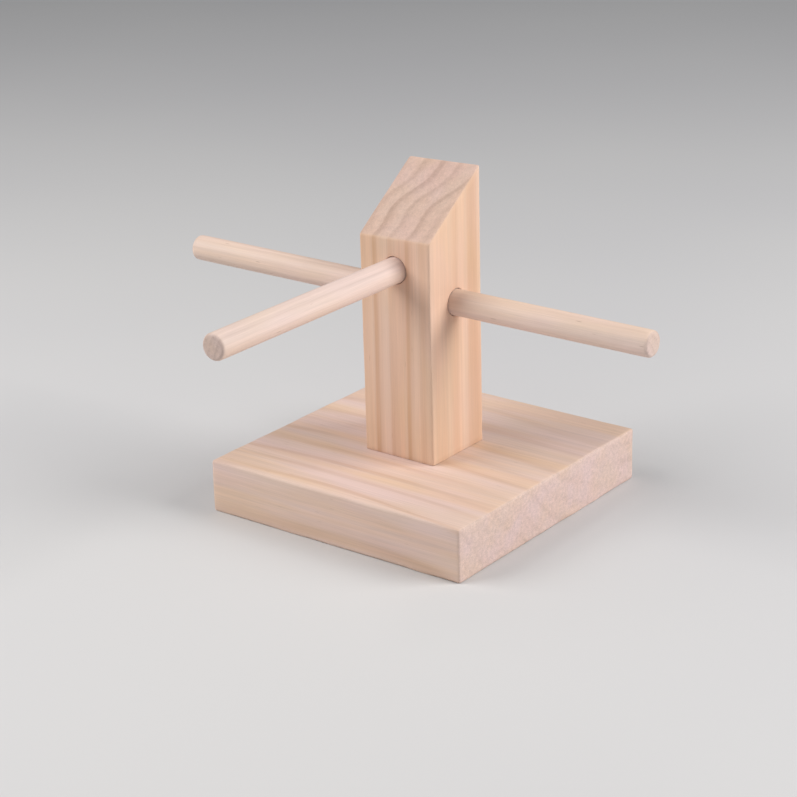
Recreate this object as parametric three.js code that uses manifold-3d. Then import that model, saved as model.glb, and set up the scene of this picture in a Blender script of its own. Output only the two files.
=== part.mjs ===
// Eyeglass display rack: a square wooden base carries a square post with a slanted top.
// A round nose peg points forwards out of the post, and a longer round bar runs through it
// from side to side.  A pair of glasses sits with its bridge on the peg and its temples
// over the bar.  Peg and bar are pushed in dry, so both slide along their own axes.
//
// Millimetres, +Z up.  The origin is the centre of the base's underside.  The nose peg
// points along -Y, the front, and the temple bar runs along X.

import * as THREE from 'three';
import * as BufferGeometryUtils from 'three/addons/utils/BufferGeometryUtils.js';
import Module from 'manifold-3d';

const wasm = await Module();
wasm.setup();

// ---------------------------------------------------------------- driving dimensions

// Base: a square of planed board.
const BASE_SIDE = 100;
const BASE_THICKNESS = 18;
const BASE_EDGE = 0.9; // how far in from its edges the base is sanded

// Post: square stock, its top cut on a slope that falls towards the front.
const POST_SIDE = 27.7;
const POST_FRONT_HEIGHT = 92.5; // from the table to the top of the front face
const POST_SLOPE_DEG = 35;
const POST_EDGE = 0.4;

// Dowels: the nose peg and the temple bar are cut from the same round stock.
const DOWEL_RADIUS = 4.35;
const DOWEL_END = 1.1; // radius that the dowels' ends are sanded to
const PEG_HEIGHT = 82; // axis above the table
const PEG_REACH = 86.5; // from the post's front face to the tip
const PEG_SEAT = 17.5; // length held in the post
const PEG_HOLE_SPARE = 0.6; // the blind hole runs this far past the peg's inner end
const BAR_HEIGHT = 70.1; // axis above the table
const BAR_LENGTH = 183.5;
const BAR_OFFSET = -4.5; // where the bar's middle lies along X

// Screws: two countersunk wood screws go up through the base into the post.
const SCREW_SPACING = 16; // front screw to rear screw
const SCREW_LENGTH = 40;
const SCREW_HEAD_RADIUS = 4;
const SCREW_HEAD_RIM = 0.4; // straight edge of the head
const SCREW_HEAD_HEIGHT = 2.6; // rim and cone together
const SCREW_HEAD_SUNK = 0.5; // below the base's underside
const SCREW_SHANK_RADIUS = 1.7;
const SCREW_SHANK_END = 13; // plain shank, measured from the head's face
const SCREW_CORE_RADIUS = 1.35;
const SCREW_THREAD_RADIUS = 2;
const SCREW_THREAD_PITCH = 1.8;
const SCREW_THREAD_TURNS = 12;
const RECESS_WIDTH = 0.9; // each slot of the cross in the head
const RECESS_SPAN = 4.4;
const RECESS_DEPTH = 1.7;

const GAP = 0.3; // clearance between pieces that meet
const OVERRUN = 1; // how far a cutting shape runs past the face that it opens
const ROUND_STEPS = 48; // flats round a dowel or a hole
const SCREW_STEPS = 24; // flats round a screw
const EDGE_STEPS = 3; // flats across an eased edge

const POST_HALF = POST_SIDE / 2;
const POST_BACK_HEIGHT =
  POST_FRONT_HEIGHT + POST_SIDE * Math.tan(THREE.MathUtils.degToRad(POST_SLOPE_DEG));

// ---------------------------------------------------------------- materials

const basePine = new THREE.MeshStandardMaterial({ color: 0xdfc2ab, roughness: 0.7, metalness: 0 });
const postPine = new THREE.MeshStandardMaterial({ color: 0xe6c09c, roughness: 0.65, metalness: 0 });
const birch = new THREE.MeshStandardMaterial({ color: 0xead2c2, roughness: 0.6, metalness: 0 });
const zinc = new THREE.MeshStandardMaterial({ color: 0xb9bcc0, roughness: 0.35, metalness: 1 });

// ---------------------------------------------------------------- helpers

// A solid that can be cut, from a closed three.js geometry.
function toSolid(geometry) {
  const bare = geometry.clone();
  bare.deleteAttribute('normal');
  bare.deleteAttribute('uv');
  const merged = BufferGeometryUtils.mergeVertices(bare, 1e-4);
  return new wasm.Manifold(new wasm.Mesh({
    numProp: 3,
    vertProperties: new Float32Array(merged.attributes.position.array),
    triVerts: new Uint32Array(merged.index.array),
  }));
}

// The three.js geometry of one solid with others cut out of it.
function cut(geometry, cutters) {
  let solid = toSolid(geometry);
  for (const cutter of cutters) solid = solid.subtract(toSolid(cutter));
  const { vertProperties, triVerts } = solid.getMesh();
  const result = new THREE.BufferGeometry();
  result.setAttribute('position', new THREE.BufferAttribute(new Float32Array(vertProperties), 3));
  result.setIndex(new THREE.BufferAttribute(new Uint32Array(triVerts), 1));
  result.computeVertexNormals();
  return result;
}

function namedMesh(name, geometry, material) {
  const mesh = new THREE.Mesh(geometry, material);
  mesh.name = name;
  return mesh;
}

// Straight prism from z = 0, its outline given anticlockwise, with every edge eased.
function easedPrism(corners, depth, edge) {
  const radius = 1.25 * edge; // leaves the round corners open where the ends narrow
  const outline = new THREE.Shape();
  corners.forEach((corner, i) => {
    const along = corner.clone().sub(corners.at(i - 1));
    const away = corners[(i + 1) % corners.length].clone().sub(corner);
    const [start, end] = [along, away].map((edgeLine) => edgeLine.angle() - Math.PI / 2);
    const normals = [start, end].map((angle) => new THREE.Vector2(Math.cos(angle), Math.sin(angle)));
    const inwards = -radius / (1 + normals[0].dot(normals[1]));
    const centre = corner.clone().add(normals[0].add(normals[1]).multiplyScalar(inwards));
    outline.absarc(centre.x, centre.y, radius, start, end, false);
  });
  const prism = new THREE.ExtrudeGeometry(outline, {
    depth: depth - 2 * edge,
    bevelThickness: edge,
    bevelSize: edge,
    bevelOffset: -edge,
    bevelSegments: EDGE_STEPS,
    curveSegments: EDGE_STEPS,
  });
  return prism.translate(0, 0, edge);
}

// Solid of revolution about +Z, from a profile path of radius and height.
function turned(profile, divisions, steps) {
  return new THREE.LatheGeometry(profile.getPoints(divisions), steps).rotateX(Math.PI / 2);
}

// Round rod standing on z = 0, both ends sanded to a radius.
function dowel(length) {
  const profile = new THREE.Path();
  profile.moveTo(0, 0);
  profile.lineTo(DOWEL_RADIUS - DOWEL_END, 0);
  profile.absarc(DOWEL_RADIUS - DOWEL_END, DOWEL_END, DOWEL_END, -Math.PI / 2, 0);
  profile.absarc(DOWEL_RADIUS - DOWEL_END, length - DOWEL_END, DOWEL_END, 0, Math.PI / 2);
  profile.lineTo(0, length);
  return turned(profile, 2, ROUND_STEPS);
}

// Cutting shape for a dowel's hole: its flats clear the dowel by the gap.
function dowelHole(length) {
  const radius = (DOWEL_RADIUS + GAP) / Math.cos(Math.PI / ROUND_STEPS);
  return new THREE.CylinderGeometry(radius, radius, length, ROUND_STEPS);
}

// ---------------------------------------------------------------- screws

// Countersunk wood screw: the head's face is at z = 0 and the point is up.
function screwGeometry() {
  const profile = new THREE.Path();
  profile.moveTo(0, 0);
  profile.lineTo(SCREW_HEAD_RADIUS, 0);
  profile.lineTo(SCREW_HEAD_RADIUS, SCREW_HEAD_RIM);
  profile.lineTo(SCREW_SHANK_RADIUS, SCREW_HEAD_HEIGHT);
  profile.lineTo(SCREW_SHANK_RADIUS, SCREW_SHANK_END);
  for (let turn = 0; turn < SCREW_THREAD_TURNS; turn++) {
    const start = SCREW_SHANK_END + turn * SCREW_THREAD_PITCH;
    profile.lineTo(SCREW_CORE_RADIUS, start + 0.2 * SCREW_THREAD_PITCH);
    profile.lineTo(SCREW_CORE_RADIUS, start + 0.5 * SCREW_THREAD_PITCH);
    profile.lineTo(SCREW_THREAD_RADIUS, start + 0.75 * SCREW_THREAD_PITCH);
  }
  profile.lineTo(SCREW_CORE_RADIUS, SCREW_SHANK_END + SCREW_THREAD_TURNS * SCREW_THREAD_PITCH);
  profile.lineTo(0, SCREW_LENGTH);

  const slotHeight = RECESS_DEPTH + OVERRUN;
  const slots = [[RECESS_SPAN, RECESS_WIDTH], [RECESS_WIDTH, RECESS_SPAN]].map(([x, y]) =>
    new THREE.BoxGeometry(x, y, slotHeight).translate(0, 0, RECESS_DEPTH - slotHeight / 2));
  return cut(turned(profile, 1, SCREW_STEPS), slots);
}

// Cutting shape for one screw's countersink, clearance hole and pilot hole.
function screwHole(y) {
  const wide = SCREW_HEAD_RADIUS + GAP;
  const narrow = SCREW_THREAD_RADIUS + GAP;
  const profile = new THREE.Path();
  profile.moveTo(0, -OVERRUN - SCREW_HEAD_SUNK);
  profile.lineTo(wide, -OVERRUN - SCREW_HEAD_SUNK);
  profile.lineTo(wide, SCREW_HEAD_RIM + GAP / 2);
  profile.lineTo(narrow, SCREW_HEAD_HEIGHT + GAP / 2);
  profile.lineTo(narrow, SCREW_LENGTH);
  profile.lineTo(0, SCREW_LENGTH + narrow);
  return turned(profile, 1, SCREW_STEPS).translate(0, y, SCREW_HEAD_SUNK);
}

const screwPlaces = { post_screw_front: -SCREW_SPACING / 2, post_screw_rear: SCREW_SPACING / 2 };

function screw(name) {
  const mesh = namedMesh(name, screwGeometry(), zinc);
  mesh.position.set(0, screwPlaces[name], SCREW_HEAD_SUNK);
  return mesh;
}

// ---------------------------------------------------------------- wooden pieces

function baseBlock() {
  const half = BASE_SIDE / 2;
  const square = [[-half, -half], [half, -half], [half, half], [-half, half]];
  const corners = square.map(([x, y]) => new THREE.Vector2(x, y));
  const block = easedPrism(corners, BASE_THICKNESS, BASE_EDGE);
  return namedMesh('base_block', cut(block, Object.values(screwPlaces).map(screwHole)), basePine);
}

// The post is a side view in Y and Z, extruded along X.
function post() {
  const side = [
    [-POST_HALF, BASE_THICKNESS + GAP],
    [POST_HALF, BASE_THICKNESS + GAP],
    [POST_HALF, POST_BACK_HEIGHT],
    [-POST_HALF, POST_FRONT_HEIGHT],
  ];
  const sideToRack = new THREE.Matrix4().makeBasis(
    new THREE.Vector3(0, 1, 0), new THREE.Vector3(0, 0, 1), new THREE.Vector3(1, 0, 0));
  const corners = side.map(([y, z]) => new THREE.Vector2(y, z));
  const block = easedPrism(corners, POST_SIDE, POST_EDGE)
    .translate(0, 0, -POST_HALF)
    .applyMatrix4(sideToRack);

  const barHole = dowelHole(POST_SIDE + 2 * OVERRUN)
    .rotateZ(Math.PI / 2)
    .translate(0, 0, BAR_HEIGHT);
  const pegHoleDepth = PEG_SEAT + PEG_HOLE_SPARE;
  const pegHole = dowelHole(pegHoleDepth + OVERRUN)
    .translate(0, -POST_HALF + (pegHoleDepth - OVERRUN) / 2, PEG_HEIGHT);
  const screwHoles = Object.values(screwPlaces).map(screwHole);
  return namedMesh('post', cut(block, [barHole, pegHole, ...screwHoles]), postPine);
}

function nosePeg() {
  const mesh = namedMesh('nose_peg', dowel(PEG_SEAT + PEG_REACH), birch);
  mesh.rotation.x = Math.PI / 2; // the rod's +Z turns to the rack's -Y
  mesh.position.set(0, -POST_HALF + PEG_SEAT, PEG_HEIGHT);
  return mesh;
}

function templeBar() {
  const mesh = namedMesh('temple_bar', dowel(BAR_LENGTH), birch);
  mesh.rotation.y = Math.PI / 2; // the rod's +Z turns to the rack's +X
  mesh.position.set(BAR_OFFSET - BAR_LENGTH / 2, 0, BAR_HEIGHT);
  return mesh;
}

// ---------------------------------------------------------------- assembly

const stand = new THREE.Group();
stand.name = 'stand';
stand.add(baseBlock(), post(), screw('post_screw_front'), screw('post_screw_rear'));

const rack = new THREE.Group();
rack.name = 'eyeglass_display_rack';
rack.add(stand, nosePeg(), templeBar());

export default rack;
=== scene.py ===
"""Eyeglass display rack: sanded pine, birch dowels and zinc screws, built around its CAD frame.

Lengths are metres, +Z is up, and the nose peg points along -Y.  Wood patterns are worked out
in millimetres, in the rack's own coordinates, so that each piece's faces show one solid grain.
"""

import math

import bmesh
import bpy
from mathutils import Matrix, Vector, noise


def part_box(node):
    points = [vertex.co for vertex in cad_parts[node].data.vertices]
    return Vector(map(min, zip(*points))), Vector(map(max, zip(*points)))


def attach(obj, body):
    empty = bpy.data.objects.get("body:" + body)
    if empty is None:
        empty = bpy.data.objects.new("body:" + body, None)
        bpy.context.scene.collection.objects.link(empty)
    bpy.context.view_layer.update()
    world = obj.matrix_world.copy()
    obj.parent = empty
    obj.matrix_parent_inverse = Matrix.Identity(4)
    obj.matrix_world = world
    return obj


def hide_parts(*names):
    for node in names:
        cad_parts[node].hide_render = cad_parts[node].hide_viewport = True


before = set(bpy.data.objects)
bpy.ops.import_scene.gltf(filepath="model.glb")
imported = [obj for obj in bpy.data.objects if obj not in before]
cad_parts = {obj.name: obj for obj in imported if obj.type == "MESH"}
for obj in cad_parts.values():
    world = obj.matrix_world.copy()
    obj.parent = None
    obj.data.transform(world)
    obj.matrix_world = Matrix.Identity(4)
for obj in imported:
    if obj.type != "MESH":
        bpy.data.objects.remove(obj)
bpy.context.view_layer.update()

MM = 0.001

# ---------------------------------------------------------------- sizes from the frame

base_low, base_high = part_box("base_block")
peg_low, peg_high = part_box("nose_peg")
bar_low, bar_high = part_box("temple_bar")

POST_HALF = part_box("post")[1].x  # the post stands in the middle of the base
POST_SLOPE = math.tan(math.radians(35))  # rise of the slanted top, front to back
POST_FRONT_TOP = 92.5 * MM
TOP_SKEW = 0.03  # the slanted cut is a hair out of square: higher on the right
DOWEL_RADIUS = (peg_high.x - peg_low.x) / 2
HOLE_RADIUS = DOWEL_RADIUS + 0.15 * MM  # drilled a little wide for its dowel
PEG_AXIS_Z = (peg_low.z + peg_high.z) / 2
BAR_AXIS_Z = (bar_low.z + bar_high.z) / 2
PEG_HOLE_END = peg_high.y + 0.6 * MM  # the blind hole runs past the peg's inner end

SCREW_NODES = ("post_screw_front", "post_screw_rear")
SCREW_HEAD_RADIUS = 4.0 * MM
SCREW_HEAD_RIM = 0.4 * MM
SCREW_HEAD_HEIGHT = 2.6 * MM
SCREW_SHANK_RADIUS = 1.7 * MM
SCREW_SHANK_END = 13.0 * MM
SCREW_CORE_RADIUS = 1.3 * MM
SCREW_THREAD_RADIUS = 2.0 * MM
SCREW_THREAD_PITCH = 1.8 * MM
SCREW_POINT_LENGTH = 5.0 * MM
SCREW_GAP = 0.3 * MM  # clearance round a screw in the wood
COUNTERSINK_LIP = 0.3 * MM  # worn edge at the mouth of a screw's hole
PILOT_POINT = 2.0 * MM  # how far the hole's pointed end runs past the screw

OVERRUN = 1.0 * MM  # how far a cutter runs past the face that it opens
HOLE_LIP = 0.22 * MM  # worn edge at the mouth of a hole
HOLE_TEAR = 0.06 * MM  # torn fibres inside it
DRILL_POINT = 1.2 * MM  # depth of the cone that a drill leaves

BASE_EDGE = 1.0 * MM
POST_EDGE = 0.75 * MM
POST_FOOT_EDGE = 0.15 * MM  # left almost sharp
POST_FOOT_GAP = 0.03 * MM  # keeps the foot's face clear of the base's
DOWEL_END = 1.15 * MM  # radius of the sanded rim
DOWEL_THINNING = 0.02 * MM  # keeps a dowel's side inside its CAD box
DOWEL_WAVE = 0.03 * MM  # most that its side dips in by turns
DOWEL_SANDING = 0.10 * MM  # most that hand sanding takes off its rim
DOWEL_DISH = 0.06 * MM  # how far its end faces dip in on average
FACE_WAVE = 0.08 * MM  # how uneven a planed face is at 50 mm from the middle
BASE_WEAR = 1.6 * MM  # how far in from its edges each piece looks handled
POST_WEAR = 1.4 * MM

BASE_GRID = 2.5 * MM  # spacing of each mesh's points
POST_GRID = 1.6 * MM
DOWEL_GRID = 2.5 * MM
EDGE_STEPS = 4  # grid lines across a block's rounded edge
ROUND_STEPS = 96  # points round a dowel or its hole
SCREW_STEPS = 48
SCREW_HOLE_STEPS = 64

# ---------------------------------------------------------------- camera

CAMERA_PLACE = Vector((415.8, -549.3, 299.2)) * MM
CAMERA_TURN = math.radians(37.815)  # to the left of +Y
CAMERA_DIP = math.radians(21.028)  # below level
CAMERA_ROLL = math.radians(-1.547)
CAMERA_LENS = 101.49  # mm, on film of the width below
FILM_WIDTH = 36


def make_camera():
    look = Vector(
        (
            -math.sin(CAMERA_TURN) * math.cos(CAMERA_DIP),
            math.cos(CAMERA_TURN) * math.cos(CAMERA_DIP),
            -math.sin(CAMERA_DIP),
        )
    )
    level = look.cross(Vector((0, 0, 1))).normalized()
    right = Matrix.Rotation(-CAMERA_ROLL, 3, look) @ level
    up = right.cross(look)
    data = bpy.data.cameras.new("camera")
    data.lens = CAMERA_LENS
    data.sensor_width = FILM_WIDTH
    camera = bpy.data.objects.new("camera", data)
    turn = Matrix((right, up, -look)).transposed().to_4x4()
    camera.matrix_world = Matrix.Translation(CAMERA_PLACE) @ turn
    bpy.context.scene.collection.objects.link(camera)
    bpy.context.scene.camera = camera


# ---------------------------------------------------------------- shader graphs


class Graph:
    """Short names for making and linking a material's nodes."""

    def __init__(self, name):
        self.material = bpy.data.materials.new(name)
        self.material.use_nodes = True
        self.tree = self.material.node_tree
        self.shader = self.tree.nodes["Principled BSDF"]

    def node(self, kind, inputs=None, **settings):
        made = self.tree.nodes.new(kind)
        for key, value in settings.items():
            setattr(made, key, value)
        for key, value in (inputs or {}).items():
            self.feed(made.inputs[key], value)
        return made

    def feed(self, socket, value):
        if isinstance(value, bpy.types.NodeSocket):
            self.tree.links.new(value, socket)
        else:
            socket.default_value = value

    def math(self, operation, a, b=0.0, clamp=False):
        made = self.node("ShaderNodeMath", {0: a, 1: b}, operation=operation, use_clamp=clamp)
        return made.outputs[0]

    def vector(self, operation, a, b=(0, 0, 0)):
        made = self.node("ShaderNodeVectorMath", {0: a, 1: b}, operation=operation)
        return made.outputs["Value" if operation in ("LENGTH", "DOT_PRODUCT") else "Vector"]

    def scaled(self, vector, factors):
        return self.vector("MULTIPLY", vector, factors)

    def noise(self, vector, detail=2.0, roughness=0.5, output="Fac", scale=1.0):
        made = self.node(
            "ShaderNodeTexNoise",
            {"Vector": vector, "Scale": scale, "Detail": detail, "Roughness": roughness},
        )
        return made.outputs[output]

    def spread(self, value, low, high, new_low=0.0, new_high=1.0, smooth=True):
        """Maps value from low..high to new_low..new_high, held at the ends."""
        made = self.node(
            "ShaderNodeMapRange",
            {"Value": value, "From Min": low, "From Max": high, "To Min": new_low, "To Max": new_high},
            interpolation_type="SMOOTHSTEP" if smooth else "LINEAR",
        )
        return made.outputs["Result"]

    def curve(self, value, points):
        """A smooth ramp of grey through (place, level) points."""
        made = self.node("ShaderNodeValToRGB", {"Fac": value})
        ramp = made.color_ramp
        ramp.interpolation = "EASE"
        while len(ramp.elements) < len(points):
            ramp.elements.new(0.5)
        for element, (place, level) in zip(ramp.elements, points):
            element.position = place
            element.color = (level, level, level, 1)
        return made.outputs["Color"]

    def mix(self, amount, a, b, blend="MIX"):
        made = self.node("ShaderNodeMix", data_type="RGBA", blend_type=blend, clamp_factor=True)
        colours = [s for s in made.inputs if s.type == "RGBA"]
        self.feed(made.inputs[0], amount)
        self.feed(colours[0], a)
        self.feed(colours[1], b)
        return next(s for s in made.outputs if s.type == "RGBA")

    def shaded(self, colour, level):
        """A colour multiplied by one level, the same for red, green and blue."""
        grey = self.node("ShaderNodeCombineXYZ", {0: level, 1: level, 2: level}).outputs[0]
        return self.mix(1.0, colour, grey, "MULTIPLY")

    def bump(self, height, strength, distance):
        inputs = {"Height": height, "Strength": strength, "Distance": distance}
        return self.node("ShaderNodeBump", inputs).outputs["Normal"]


def rgb(red, green, blue):
    return (red, green, blue, 1.0)


# ---------------------------------------------------------------- wood

# How often each pattern changes, per mm: across the grain, across it the other way, along it.
SLOW_STRAY = (1 / 22, 1 / 22, 1 / 90)
FINE_STRAY = (1 / 3, 1 / 3, 1 / 40)
RING_REGIONS = (1 / 28, 1 / 28, 1 / 60)
TONE_REGIONS = (1 / 16, 1 / 16, 1 / 45)
STREAKS = (0.9, 0.9, 0.012)
HAIRS = (4.5, 4.5, 0.07)
WARM_STREAKS = (0.13, 0.13, 0.006)
BLOTCHES = (0.8, 0.8, 0.3)
GRIT = (3.5, 3.5, 1.5)
CELLS = (0.75, 0.75, 0.09)
SMUDGES = (1 / 14, 1 / 14, 1 / 14)  # the same every way, whatever the grain

LATE_END_SHADE = rgb(0.58, 0.55, 0.53)  # late wood on end grain, as a part of the end tint
PORE_SHADE = rgb(0.55, 0.48, 0.42)  # pores, as a part of the late wood's colour
PINK_LEAN = rgb(1.0, 0.985, 1.01)
YELLOW_LEAN = rgb(0.985, 0.975, 0.925)
WOOD_RELIEF = 0.05 * MM

# Darkness through one ring, as (place in the ring, level), from one ring's edge to the next.
PLAIN_RING = ((0.0, 0.4), (0.08, 0.0), (0.4, 0.03), (0.64, 0.35), (0.84, 0.9), (0.95, 1.0), (1.0, 0.4))
BASE_RING = ((0.0, 0.15), (0.15, 0.0), (0.45, 0.05), (0.64, 0.35), (0.78, 1.0), (0.88, 0.8), (1.0, 0.15))
POST_RING = ((0.0, 0.4), (0.08, 0.0), (0.35, 0.03), (0.62, 0.35), (0.8, 0.95), (0.92, 1.0), (1.0, 0.4))


def pith_distance(g, plain, along, side, pith, ripple, bow, wander):
    """Distance from the pith in mm, in wood that bends and whose rings are not true circles."""
    # The rings stray slowly over the whole piece and finely from fibre to fibre.
    half = (0.5, 0.5, 0.5)
    slow = g.vector("SUBTRACT", g.noise(g.scaled(plain, SLOW_STRAY), 1, output="Color"), half)
    fine = g.vector("SUBTRACT", g.noise(g.scaled(plain, FINE_STRAY), 3, output="Color"), half)
    stray = g.vector(
        "ADD",
        g.scaled(slow, (2 * wander, 2 * wander, 0)),
        g.scaled(fine, (0.4 * wander, 0.4 * wander, 0)),
    )
    bend = g.math("MULTIPLY", g.math("POWER", g.math("MULTIPLY", along, 1 / 50), 2.0), bow)
    swing, swing_length, swing_start = ripple
    turn = g.math("MULTIPLY", g.math("SUBTRACT", side, swing_start), 2 * math.pi / swing_length)
    bend = g.math("SUBTRACT", bend, g.math("MULTIPLY", g.math("SINE", turn), swing))
    bent = g.vector("ADD", plain, g.node("ShaderNodeCombineXYZ", {0: bend}).outputs[0])
    section = g.scaled(g.vector("ADD", bent, stray), (1, 1, 0))
    return g.vector("LENGTH", g.vector("SUBTRACT", section, (pith[0], pith[1], 0)))


def late_wood(g, plain, radius, ring_width, ring_phase, ring_profile, fade):
    """How dark the growth rings are, 0 to 1: they differ in width, and some are faint."""
    count = g.math("ADD", g.math("DIVIDE", radius, ring_width), -ring_phase)
    widths = g.node("ShaderNodeTexNoise", {"W": count, "Scale": 0.7, "Detail": 0.0}, noise_dimensions="1D")
    uneven = g.math("MULTIPLY", g.math("SUBTRACT", widths.outputs[0], 0.5), 0.5)
    count = g.math("ADD", count, uneven)
    ring, number = g.math("FRACT", count), g.math("FLOOR", count)
    darkness = g.node("ShaderNodeTexWhiteNoise", {"W": number}, noise_dimensions="1D").outputs["Value"]
    amount = g.math(
        "MULTIPLY", g.curve(ring, ring_profile), g.spread(darkness, 0, 1, 0.3, 1.0, smooth=False)
    )
    region = g.noise(g.scaled(plain, RING_REGIONS), 1)
    return g.math("MULTIPLY", amount, g.spread(region, 0.36, 0.62, fade, 1.0))


def end_mottle(g, plain, speckle):
    """The cut fibres of the end grain take light and dark by turns."""
    blotch = g.noise(g.scaled(plain, BLOTCHES), 3, 0.6)
    grit = g.noise(g.scaled(plain, GRIT), 2, 0.6)
    return g.math(
        "MULTIPLY",
        g.spread(blotch, 0.3, 0.7, 1 - 0.07 * speckle, 1 + 0.05 * speckle, smooth=False),
        g.spread(grit, 0.3, 0.7, 1 - 0.10 * speckle, 1 + 0.06 * speckle, smooth=False),
    )


def pore_dashes(g, plain, pores):
    """Resin canals and pores: short dark dashes, dots on the end grain."""
    cells = g.node(
        "ShaderNodeTexVoronoi", {"Vector": g.scaled(plain, CELLS), "Scale": 1.0, "Randomness": 1.0}
    )
    dash = g.spread(cells.outputs["Distance"], 0.06, 0.13, 1.0, 0.0)
    cell_red = g.node("ShaderNodeSeparateColor", {0: cells.outputs["Color"]}).outputs[0]
    some = g.spread(cell_red, 0.5, 0.6)  # only about half of the cells hold a dash
    return g.math("MULTIPLY", g.math("MULTIPLY", dash, some), pores, clamp=True)


def wood(
    name,
    grain,  # axis that the fibres run along: 0, 1 or 2
    across,  # the two other axes, as the ring pattern's u and v
    pith,  # centre of the growth rings, in u and v
    ring_width,
    ring_phase,
    early,  # colour of the light part of a ring
    early_warm,  # the same in the warmer streaks
    late,  # colour of the dark part
    end_tint,  # colour that end grain leans to
    ring_contrast,
    end_contrast,
    wander,  # how far the rings stray from true circles
    fibre,  # strength of the fine streaks
    pores,  # strength of the short dark dashes
    ring_profile=PLAIN_RING,
    fade=0.5,  # how much of the rings is left where they are faintest
    ripple=(0.0, 18.0, 0.0),  # sideways swing of the rings: how far, over what length of v, from where
    bow=0.0,  # how far the fibres bend sideways at 50 mm from the middle
    speckle=1.0,  # strength of the mottled end grain
    roughness=(0.5, 0.68),
):
    """Solid wood: growth rings round a pith, fibres along the grain, and end grain of its own tint."""
    g = Graph(name)
    texture = g.node("ShaderNodeTexCoord")
    rack_mm = g.scaled(texture.outputs["Object"], (1 / MM,) * 3)
    parts = g.node("ShaderNodeSeparateXYZ", {0: rack_mm}).outputs
    along, side = parts[grain], parts[across[1]]
    plain = g.node("ShaderNodeCombineXYZ", {0: parts[across[0]], 1: side, 2: along}).outputs[0]

    radius = pith_distance(g, plain, along, side, pith, ripple, bow, wander)
    late_amount = late_wood(g, plain, radius, ring_width, ring_phase, ring_profile, fade)

    # Fibres: streaks along the grain, which show as specks on the end grain.
    streaks = g.noise(g.scaled(plain, STREAKS), 4, 0.65)
    hairs = g.noise(g.scaled(plain, HAIRS), 2, 0.6)
    warm_drift = g.noise(g.scaled(plain, WARM_STREAKS), 2, 0.5)

    grain_axis = tuple(1.0 if i == grain else 0.0 for i in range(3))
    facing = g.math("ABSOLUTE", g.vector("DOT_PRODUCT", texture.outputs["Normal"], grain_axis))
    end_grain = g.spread(facing, 0.35, 0.8)

    light_part = g.mix(g.spread(warm_drift, 0.38, 0.64), early, early_warm)
    side_late = g.math("MULTIPLY", late_amount, ring_contrast, clamp=True)
    long_side = g.mix(side_late, light_part, late)
    end_early = g.mix(0.62, light_part, end_tint)
    end_late = g.mix(0.8, late, g.mix(1.0, end_tint, LATE_END_SHADE, "MULTIPLY"))
    end_amount = g.math("MULTIPLY", late_amount, 0.85 * end_contrast, clamp=True)
    colour = g.mix(end_grain, long_side, g.mix(end_amount, end_early, end_late))

    streak_shade = g.spread(streaks, 0.25, 0.75, 1 - 0.14 * fibre, 1 + 0.06 * fibre, smooth=False)
    hair_shade = g.spread(hairs, 0.25, 0.75, 1 - 0.10 * fibre, 1 + 0.05 * fibre, smooth=False)
    colour = g.shaded(colour, g.math("MULTIPLY", streak_shade, hair_shade))
    colour = g.mix(end_grain, colour, g.shaded(colour, end_mottle(g, plain, speckle)))
    dashes = pore_dashes(g, plain, pores)
    colour = g.mix(dashes, colour, g.mix(1.0, late, PORE_SHADE, "MULTIPLY"))

    # Whole regions lean towards pink or towards yellow.
    lean = g.noise(g.scaled(plain, TONE_REGIONS), 2)
    tone = g.mix(g.spread(lean, 0.35, 0.65), PINK_LEAN, YELLOW_LEAN)
    colour = g.mix(1.0, colour, tone, "MULTIPLY")

    # Handling: sanded edges lean to the warm early colour, and the faces carry faint smudges.
    wear = g.node("ShaderNodeAttribute", attribute_name="edge_wear").outputs["Fac"]
    colour = g.mix(g.math("MULTIPLY", wear, 0.22), colour, early_warm)
    smudge = g.spread(g.noise(g.scaled(rack_mm, SMUDGES), 3), 0.45, 0.75, 0.0, 0.07)
    colour = g.mix(smudge, colour, g.mix(0.5, late, end_tint))
    g.feed(g.shader.inputs["Base Color"], colour)

    # End grain is rougher, and handled edges are smoother.
    rough = g.spread(hairs, 0.2, 0.8, *roughness, smooth=False)
    rough = g.math("ADD", rough, g.math("MULTIPLY", end_grain, 0.1))
    rough = g.math("SUBTRACT", rough, g.math("MULTIPLY", wear, 0.06), clamp=True)
    g.feed(g.shader.inputs["Roughness"], rough)
    g.shader.inputs["IOR"].default_value = 1.45
    g.shader.inputs["Specular IOR Level"].default_value = 0.4

    height = g.math("ADD", g.math("MULTIPLY", hairs, 0.6), g.math("MULTIPLY", late_amount, 0.25))
    height = g.math("SUBTRACT", height, g.math("MULTIPLY", dashes, 0.6))
    g.feed(g.shader.inputs["Normal"], g.bump(height, 0.55, WOOD_RELIEF))
    return g.material


def base_pine():
    return wood(
        "base_pine",
        grain=0,
        across=(1, 2),
        pith=(62, 85),
        ring_width=6.7,
        ring_phase=0.88,
        early=rgb(0.79, 0.615, 0.55),
        early_warm=rgb(0.80, 0.59, 0.46),
        late=rgb(0.62, 0.40, 0.27),
        end_tint=rgb(0.71, 0.545, 0.515),
        ring_contrast=0.6,
        end_contrast=0.4,
        fade=0.35,
        ring_profile=BASE_RING,
        bow=4.0,
        wander=3.0,
        fibre=0.75,
        speckle=1.7,
        pores=0.25,
    )


def post_pine():
    return wood(
        "post_pine",
        grain=2,
        across=(0, 1),
        pith=(90, -35),
        ring_width=6.1,
        ring_phase=0.73,
        early=rgb(0.82, 0.60, 0.465),
        early_warm=rgb(0.82, 0.56, 0.41),
        late=rgb(0.60, 0.34, 0.19),
        end_tint=rgb(0.70, 0.52, 0.47),
        ring_contrast=0.72,
        ring_profile=POST_RING,
        end_contrast=0.75,
        fade=0.75,
        ripple=(1.25, 18.0, 2.0),
        wander=0.8,
        fibre=0.6,
        pores=0.2,
    )


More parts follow.
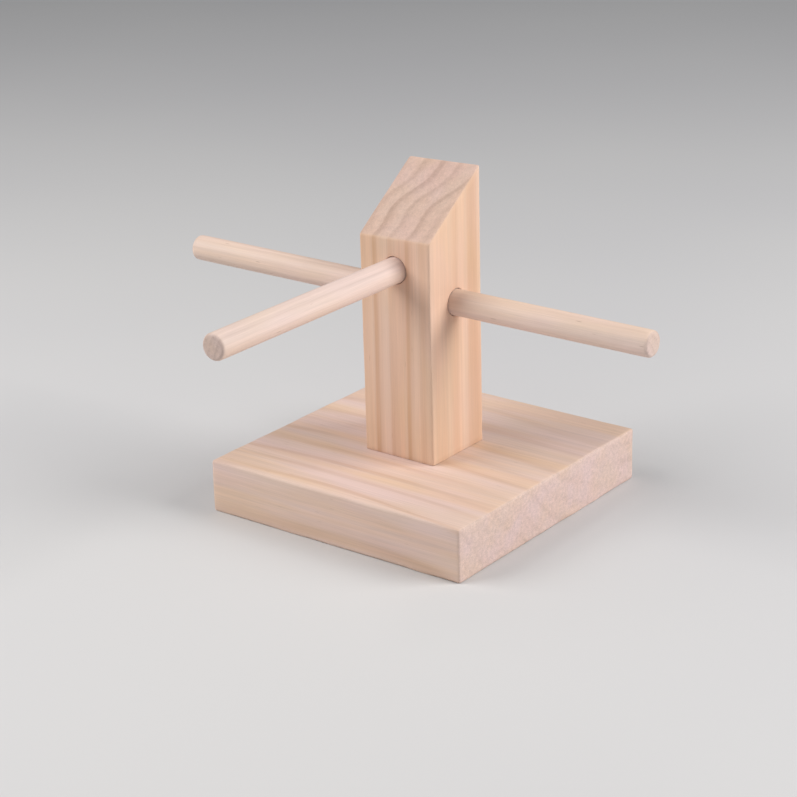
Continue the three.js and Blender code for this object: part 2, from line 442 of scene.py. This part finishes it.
def dowel_birch(name, grain, across, pith):
    return wood(
        name,
        grain=grain,
        across=across,
        pith=pith,
        ring_width=2.6,
        ring_phase=0.2,
        early=rgb(0.84, 0.675, 0.60),
        early_warm=rgb(0.84, 0.65, 0.54),
        late=rgb(0.62, 0.44, 0.35),
        end_tint=rgb(0.62, 0.48, 0.45),
        ring_contrast=0.28,
        end_contrast=0.6,
        wander=1.0,
        fibre=0.8,
        pores=0.45,
        roughness=(0.42, 0.6),
    )


def zinc():
    """Bright zinc on steel: faint yellow and blue drifts, grey grains and fine scratches."""
    g = Graph("zinc_steel")
    texture = g.node("ShaderNodeTexCoord")
    rack_mm = g.scaled(texture.outputs["Object"], (1 / MM,) * 3)
    drift = g.noise(g.scaled(rack_mm, (0.5, 0.5, 0.35)), 2)
    grains = g.noise(g.scaled(rack_mm, (5, 5, 5)), 3, 0.6)
    scratches = g.noise(g.scaled(rack_mm, (1.5, 14, 3)), 2)
    colour = g.mix(g.spread(drift, 0.35, 0.65), rgb(0.62, 0.64, 0.68), rgb(0.68, 0.65, 0.56))
    colour = g.mix(g.spread(grains, 0.5, 0.8, 0.0, 0.35), colour, rgb(0.42, 0.42, 0.43))
    g.feed(g.shader.inputs["Base Color"], colour)
    g.shader.inputs["Metallic"].default_value = 1.0
    g.feed(g.shader.inputs["Roughness"], g.spread(scratches, 0.3, 0.7, 0.28, 0.46))
    g.feed(g.shader.inputs["Normal"], g.bump(scratches, 0.25, 0.02 * MM))
    return g.material


# ---------------------------------------------------------------- mesh helpers


def smoothstep(low, high, value):
    t = min(1.0, max(0.0, (value - low) / (high - low)))
    return t * t * (3 - 2 * t)


def link_mesh(name, mesh):
    piece = bpy.data.objects.new(name, mesh)
    bpy.context.scene.collection.objects.link(piece)
    return piece


def lattice_lines(low, high, edge_low, edge_high, spacing):
    """Places of the grid lines from low to high, close together where the edges are eased."""
    inner_low, inner_high = low + edge_low, high - edge_high
    cells = max(1, round((inner_high - inner_low) / spacing))
    rise = [low + edge_low * i / EDGE_STEPS for i in range(EDGE_STEPS)]
    middle = [inner_low + (inner_high - inner_low) * i / cells for i in range(cells + 1)]
    fall = [inner_high + edge_high * (i + 1) / EDGE_STEPS for i in range(EDGE_STEPS)]
    return rise + middle + fall


def ease_corner(point, low, high, edges):
    """Moves a point of a sharp block's surface onto the same block with rounded edges."""
    inner, offset = [], []
    for axis in range(3):
        edge_low, edge_high = edges[axis]
        value = point[axis]
        if value < low[axis] + edge_low:
            inner.append(low[axis] + edge_low)
            offset.append((value - inner[axis]) / edge_low)
        elif value > high[axis] - edge_high:
            inner.append(high[axis] - edge_high)
            offset.append((value - inner[axis]) / edge_high)
        else:
            inner.append(value)
            offset.append(0.0)
    length = math.sqrt(sum(part * part for part in offset)) or 1.0
    largest = max(abs(part) for part in offset)
    rounded = []
    for axis in range(3):
        edge = edges[axis][0] if offset[axis] < 0 else edges[axis][1]
        rounded.append(inner[axis] + edge * offset[axis] * largest / length)
    sanding = 0.85 + 0.5 * noise.noise(Vector(point) / (9 * MM))  # hand sanding is uneven
    return Vector(point).lerp(Vector(rounded), min(1.0, sanding))


def block_mesh(name, low, high, edges, spacing, bend):
    """A block whose surface is a fine grid, with rounded edges; bend moves each finished point."""
    lines = [lattice_lines(low[a], high[a], *edges[a], spacing) for a in range(3)]
    mesh = bmesh.new()
    made = {}

    def vertex(index):
        if index not in made:
            point = [lines[axis][index[axis]] for axis in range(3)]
            made[index] = mesh.verts.new(bend(ease_corner(point, low, high, edges)))
        return made[index]

    for axis in range(3):
        u, v = (axis + 1) % 3, (axis + 2) % 3
        for end in (0, len(lines[axis]) - 1):
            for i in range(len(lines[u]) - 1):
                for j in range(len(lines[v]) - 1):
                    corners = []
                    for di, dj in ((0, 0), (1, 0), (1, 1), (0, 1)):
                        index = [0, 0, 0]
                        index[axis], index[u], index[v] = end, i + di, j + dj
                        corners.append(vertex(tuple(index)))
                    mesh.faces.new(corners if end else corners[::-1])
    result = bpy.data.meshes.new(name)
    mesh.to_mesh(result)
    mesh.free()
    return result


def turned_mesh(name, profile, steps, wobble=lambda angle, radius, height: (radius, height)):
    """A solid of revolution about +Z; its profile of (radius, height) starts and ends on the axis."""
    mesh = bmesh.new()
    first = mesh.verts.new((0, 0, profile[0][1]))
    last = mesh.verts.new((0, 0, profile[-1][1]))
    rings = []
    for radius, height in profile[1:-1]:
        ring = []
        for step in range(steps):
            angle = 2 * math.pi * step / steps
            r, z = wobble(angle, radius, height)
            ring.append(mesh.verts.new((r * math.cos(angle), r * math.sin(angle), z)))
        rings.append(ring)
    for step in range(steps):
        after = (step + 1) % steps
        mesh.faces.new((first, rings[0][after], rings[0][step]))
        for below, above in zip(rings, rings[1:]):
            mesh.faces.new((below[step], below[after], above[after], above[step]))
        mesh.faces.new((last, rings[-1][step], rings[-1][after]))
    result = bpy.data.meshes.new(name)
    mesh.to_mesh(result)
    mesh.free()
    return result


def carve(piece, cutters):
    """Cuts the cutters' shapes out of a piece, and removes the cutters."""
    for cutter in cutters:
        modifier = piece.modifiers.new("carve", "BOOLEAN")
        modifier.operation = "DIFFERENCE"
        modifier.solver = "EXACT"
        modifier.object = cutter
    evaluated = piece.evaluated_get(bpy.context.evaluated_depsgraph_get())
    carved = bpy.data.meshes.new_from_object(evaluated)
    piece.modifiers.clear()
    piece.data = carved
    carved.name = piece.name
    for cutter in cutters:
        bpy.data.objects.remove(cutter)


def shade(piece, sharp_degrees=38):
    piece.data.shade_smooth()
    piece.data.set_sharp_from_angle(angle=math.radians(sharp_degrees))


def mark_edge_wear(piece, planes, reach):
    """Stores 1 along the edges where two of the planes meet, fading to 0 at reach from them."""
    wear = piece.data.attributes.new("edge_wear", "FLOAT", "POINT")
    for vertex in piece.data.vertices:
        gaps = sorted(abs((vertex.co - point).dot(normal)) for point, normal in planes)
        wear.data[vertex.index].value = 1.0 - smoothstep(0.2 * reach, reach, gaps[1])


def finish_piece(piece, material, body, node):
    piece.data.materials.clear()
    piece.data.materials.append(material)
    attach(piece, body)
    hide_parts(node)


# ---------------------------------------------------------------- holes


def arc(centre, radius, start, end, steps):
    """Points of an arc in (radius, height), angles in degrees."""
    angles = [math.radians(start + (end - start) * i / steps) for i in range(steps + 1)]
    return [(centre[0] + radius * math.cos(a), centre[1] + radius * math.sin(a)) for a in angles]


def hole_cutter(name, depth, mouths):
    """A round cutter along +Z from 0 to depth, with a worn lip at its one or two mouths."""
    lip, over = HOLE_LIP, OVERRUN
    profile = [(0, -over), (HOLE_RADIUS + lip, -over), (HOLE_RADIUS + lip, 0), (HOLE_RADIUS, lip)]
    if mouths == 2:
        profile += [(HOLE_RADIUS, depth - lip), (HOLE_RADIUS + lip, depth)]
        profile += [(HOLE_RADIUS + lip, depth + over), (0, depth + over)]
    else:
        profile += [(HOLE_RADIUS, depth), (0, depth + DRILL_POINT)]

    def ragged(angle, radius, height):
        torn = noise.noise(Vector((math.cos(angle) * 2, math.sin(angle) * 2, height / (5 * MM))))
        return (radius + HOLE_TEAR * torn if radius > 0 else radius), height

    return link_mesh(name, turned_mesh(name, profile, ROUND_STEPS, ragged))


def screw_hole_cutter(node):
    """The countersink and the round hole for one screw, from the base's underside up."""
    low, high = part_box(node)
    narrow, wide = SCREW_THREAD_RADIUS + SCREW_GAP, SCREW_HEAD_RADIUS + SCREW_GAP
    head, over = low.z, OVERRUN
    profile = [
        (0, -over),
        (wide + COUNTERSINK_LIP, -over),
        (wide + COUNTERSINK_LIP, 0),
        (wide, COUNTERSINK_LIP),
        (wide, head + SCREW_HEAD_RIM),
        (narrow, head + SCREW_HEAD_HEIGHT + SCREW_GAP),
        (narrow, high.z),
        (0, high.z + PILOT_POINT),
    ]
    cutter = link_mesh("cut_" + node, turned_mesh("cut_" + node, profile, SCREW_HOLE_STEPS))
    middle = (low + high) / 2
    cutter.location = (middle.x, middle.y, 0)
    return cutter


# ---------------------------------------------------------------- wooden pieces


def undulate(point, depth):
    """Moves a point a little towards the rack's upright axis, as planing leaves a wooden side."""
    press = 0.5 + 0.5 * noise.noise(point / (16 * MM))
    return point - Vector((point.x, point.y, 0)) * (depth * press / (50 * MM))


def make_base():
    edges = [(BASE_EDGE, BASE_EDGE)] * 3
    mesh = block_mesh(
        "base_block_wood", base_low, base_high, edges, BASE_GRID, lambda p: undulate(p, FACE_WAVE)
    )
    piece = link_mesh("base_block_wood", mesh)
    carve(piece, [screw_hole_cutter(node) for node in SCREW_NODES])
    planes = [(base_low, Vector(a)) for a in ((1, 0, 0), (0, 1, 0), (0, 0, 1))]
    planes += [(base_high, Vector(a)) for a in ((1, 0, 0), (0, 1, 0), (0, 0, 1))]
    mark_edge_wear(piece, planes, BASE_WEAR)
    shade(piece)
    finish_piece(piece, base_pine(), "stand", "base_block")


def make_post():
    foot = base_high.z + POST_FOOT_GAP
    low = Vector((-POST_HALF, -POST_HALF, foot))
    high = Vector((POST_HALF, POST_HALF, POST_FRONT_TOP))
    edges = [(POST_EDGE, POST_EDGE), (POST_EDGE, POST_EDGE), (POST_FOOT_EDGE, POST_EDGE)]
    top_rise = POST_SLOPE / (POST_FRONT_TOP - foot)

    def slant(point):
        """Stretches the level block upwards until its top lies on the slanted cut."""
        rise = top_rise * (point.y + POST_HALF) + TOP_SKEW * point.x / (POST_FRONT_TOP - foot)
        lifted = point.z + (point.z - foot) * rise
        return undulate(Vector((point.x, point.y, lifted)), FACE_WAVE)

    piece = link_mesh("post_wood", block_mesh("post_wood", low, high, edges, POST_GRID, slant))

    bar_hole = hole_cutter("cut_bar", 2 * POST_HALF, 2)
    bar_hole.matrix_world = Matrix.Translation((-POST_HALF, 0, BAR_AXIS_Z)) @ Matrix.Rotation(
        math.radians(90), 4, "Y"
    )
    peg_hole = hole_cutter("cut_peg", PEG_HOLE_END + POST_HALF, 1)
    peg_hole.matrix_world = Matrix.Translation((0, -POST_HALF, PEG_AXIS_Z)) @ Matrix.Rotation(
        math.radians(-90), 4, "X"
    )
    carve(piece, [bar_hole, peg_hole] + [screw_hole_cutter(node) for node in SCREW_NODES])

    top_normal = Vector((0, -POST_SLOPE, 1)).normalized()
    planes = [(low, Vector((1, 0, 0))), (high, Vector((1, 0, 0)))]
    planes += [(low, Vector((0, 1, 0))), (high, Vector((0, 1, 0)))]
    planes += [(Vector((0, -POST_HALF, POST_FRONT_TOP)), top_normal)]
    mark_edge_wear(piece, planes, POST_WEAR)
    shade(piece)
    finish_piece(piece, post_pine(), "stand", "post")


def dowel_mesh(name, length, seed):
    """A dowel along +Z from 0, its side slightly uneven and its ends sanded by hand."""
    end, steps = DOWEL_END, 6
    body = DOWEL_RADIUS - DOWEL_THINNING
    face = [(r * (body - end), 0.0) for r in (0.0, 0.25, 0.5, 0.75)]
    rim = arc((body - end, end), end, -90, 0, steps)
    rings = max(2, round((length - 2 * end) / DOWEL_GRID))
    side = [(body, end + (length - 2 * end) * i / rings) for i in range(1, rings)]
    far = [(r, length - z) for r, z in reversed(face + rim)]

    def handmade(angle, radius, height):
        around = Vector((math.cos(angle), math.sin(angle), 0))
        waves = noise.noise(around * 0.9 + Vector((0, 0, height / (30 * MM) + seed)))
        from_end = min(height, length - height)
        sanding = noise.noise(around * 1.6 + Vector((seed, 0, height / (40 * MM))))
        near_end = 1.0 - smoothstep(0, 2.2 * MM, from_end)
        rim_part = smoothstep(0.5, 1.0, radius / DOWEL_RADIUS)
        press = DOWEL_WAVE * (1 + waves) / 2
        press += DOWEL_SANDING * near_end * rim_part * (1 + sanding) / 2
        saw_marks = noise.noise(around * radius / (2 * MM) + Vector((seed, 5, 0)))
        dish = DOWEL_DISH * near_end * (1 + saw_marks)
        inwards = dish if height < length / 2 else -dish
        return radius - press * min(1.0, radius / (0.5 * MM)), height + inwards

    return turned_mesh(name, face + rim + side + far, ROUND_STEPS, handmade)


def make_dowel(name, start, turn, length, material, body, node, seed):
    piece = link_mesh(name, dowel_mesh(name, length, seed))
    piece.data.transform(Matrix.Translation(start) @ turn)
    wear = piece.data.attributes.new("edge_wear", "FLOAT", "POINT")
    axis = (turn @ Vector((0, 0, 1))).normalized()
    for vertex in piece.data.vertices:
        height = (vertex.co - start).dot(axis)
        out = ((vertex.co - start) - height * axis).length / DOWEL_RADIUS
        near = 1.0 - smoothstep(0.3 * MM, 2.0 * MM, min(height, length - height))
        wear.data[vertex.index].value = near * smoothstep(0.7, 0.95, out)
    shade(piece, 50)
    finish_piece(piece, material, body, node)


def make_dowels():
    make_dowel(
        "nose_peg_dowel",
        Vector((0, peg_high.y, PEG_AXIS_Z)),
        Matrix.Rotation(math.radians(90), 4, "X"),
        peg_high.y - peg_low.y,
        dowel_birch("peg_birch", grain=1, across=(0, 2), pith=(31, 70)),
        "nose_peg_body",
        "nose_peg",
        seed=3.0,
    )
    make_dowel(
        "temple_bar_dowel",
        Vector((bar_low.x, 0, BAR_AXIS_Z)),
        Matrix.Rotation(math.radians(90), 4, "Y"),
        bar_high.x - bar_low.x,
        dowel_birch("bar_birch", grain=0, across=(1, 2), pith=(-26, 50)),
        "temple_bar_body",
        "temple_bar",
        seed=8.0,
    )


# ---------------------------------------------------------------- screws


def recess_cutter(name):
    """The cross recess: a plus sign that narrows as it goes in."""
    mesh = bmesh.new()
    rows = []
    # Height, half length of an arm and half its width, in mm, from outside the head inwards.
    for height, reach, half in ((-0.5, 2.5, 0.50), (0.0, 2.25, 0.48), (1.9, 0.6, 0.30)):
        arm = [(reach, -half), (reach, half), (half, half)]
        outline = []
        for quarter in range(4):
            cos, sin = ((1, 0), (0, 1), (-1, 0), (0, -1))[quarter]
            outline += [(x * cos - y * sin, x * sin + y * cos) for x, y in arm]
        rows.append([mesh.verts.new(Vector((x, y, height)) * MM) for x, y in outline])
    mesh.faces.new(rows[0][::-1])
    mesh.faces.new(rows[-1])
    for below, above in zip(rows, rows[1:]):
        for i in range(len(below)):
            j = (i + 1) % len(below)
            mesh.faces.new((below[i], below[j], above[j], above[i]))
    result = bpy.data.meshes.new(name)
    mesh.to_mesh(result)
    mesh.free()
    return link_mesh(name, result)


def screw_profile(length):
    """Outline of one screw as (radius, height), from the middle of its head to its point."""
    head = [
        (0, 0),
        (SCREW_HEAD_RADIUS * 0.6, 0),
        (SCREW_HEAD_RADIUS - 0.08 * MM, 0),
        (SCREW_HEAD_RADIUS, 0.08 * MM),
        (SCREW_HEAD_RADIUS, SCREW_HEAD_RIM),
        (SCREW_SHANK_RADIUS + 0.25 * MM, SCREW_HEAD_HEIGHT - 0.3 * MM),
        (SCREW_SHANK_RADIUS, SCREW_HEAD_HEIGHT + 0.2 * MM),
        (SCREW_SHANK_RADIUS, SCREW_SHANK_END - 0.2 * MM),
    ]
    rows = round((length - SCREW_SHANK_END) / (SCREW_THREAD_PITCH / 10))
    step = (length - SCREW_SHANK_END) / rows
    thread = [(SCREW_CORE_RADIUS, SCREW_SHANK_END + step * i) for i in range(rows)]
    return head + thread + [(0, length)]


def make_screw(node):
    low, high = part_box(node)
    length = high.z - low.z

    def thread(angle, radius, height):
        """Raises a helical ridge on the core, and tapers it all to a point."""
        if height < SCREW_SHANK_END:
            return radius, height
        point = smoothstep(0, SCREW_POINT_LENGTH, length - height)
        start = smoothstep(0, SCREW_THREAD_PITCH, height - SCREW_SHANK_END)
        phase = (height / SCREW_THREAD_PITCH - angle / (2 * math.pi)) % 1.0
        ridge = max(0.0, 1.0 - abs(phase - 0.5) / 0.3)
        crest = (SCREW_THREAD_RADIUS - SCREW_CORE_RADIUS) * ridge * start
        return (radius + crest) * (0.04 + 0.96 * point), height

    name = node + "_steel"
    piece = link_mesh(name, turned_mesh(name, screw_profile(length), SCREW_STEPS, thread))
    carve(piece, [recess_cutter("cut_recess_" + node)])
    piece.data.transform(Matrix.Translation(((low.x + high.x) / 2, (low.y + high.y) / 2, low.z)))
    shade(piece, 30)
    return piece


def make_screws():
    material = zinc()
    for node in SCREW_NODES:
        finish_piece(make_screw(node), material, "stand", node)


# ---------------------------------------------------------------- stage

FLOOR_RADIUS = 8.0
FLOOR_DROP = 0.02 * MM  # keeps the floor's face out of the base's underside
AIM = Vector((0, 0, 0.05))  # what the lights point at


def floor_paint():
    g = Graph("floor_paint")
    texture = g.node("ShaderNodeTexCoord")
    cloud = g.noise(texture.outputs["Object"], 2, scale=3.0)
    colour = g.mix(g.spread(cloud, 0.3, 0.7), rgb(0.62, 0.62, 0.63), rgb(0.65, 0.65, 0.65))
    g.feed(g.shader.inputs["Base Color"], colour)
    g.shader.inputs["Roughness"].default_value = 0.75
    return g.material


def area_light(name, place, size, power, colour):
    data = bpy.data.lights.new(name, "AREA")
    data.shape = "SQUARE"
    data.size = size
    data.energy = power
    data.color = colour
    light = bpy.data.objects.new(name, data)
    light.location = place
    towards = AIM - Vector(place)
    light.rotation_euler = towards.to_track_quat("-Z", "Y").to_euler()
    bpy.context.scene.collection.objects.link(light)


def make_stage():
    mesh = bmesh.new()
    bmesh.ops.create_circle(mesh, cap_ends=True, segments=96, radius=FLOOR_RADIUS)
    data = bpy.data.meshes.new("floor")
    mesh.to_mesh(data)
    mesh.free()
    data.materials.append(floor_paint())
    floor = link_mesh("floor", data)
    floor.location.z = -FLOOR_DROP

    world = bpy.data.worlds.new("studio")
    world.use_nodes = True
    background = world.node_tree.nodes["Background"]
    background.inputs["Color"].default_value = rgb(0.80, 0.82, 0.86)
    background.inputs["Strength"].default_value = 0.27
    scene = bpy.context.scene
    scene.world = world
    scene.view_settings.view_transform = "Standard"

    area_light("key_right", (0.78, 0.33, 0.56), size=0.6, power=9.0, colour=(1.0, 0.98, 0.96))
    area_light("fill_left", (-0.47, -0.47, 0.62), size=0.62, power=6.1, colour=(1.0, 0.97, 0.95))


make_camera()
make_base()
make_post()
make_dowels()
make_screws()
make_stage()
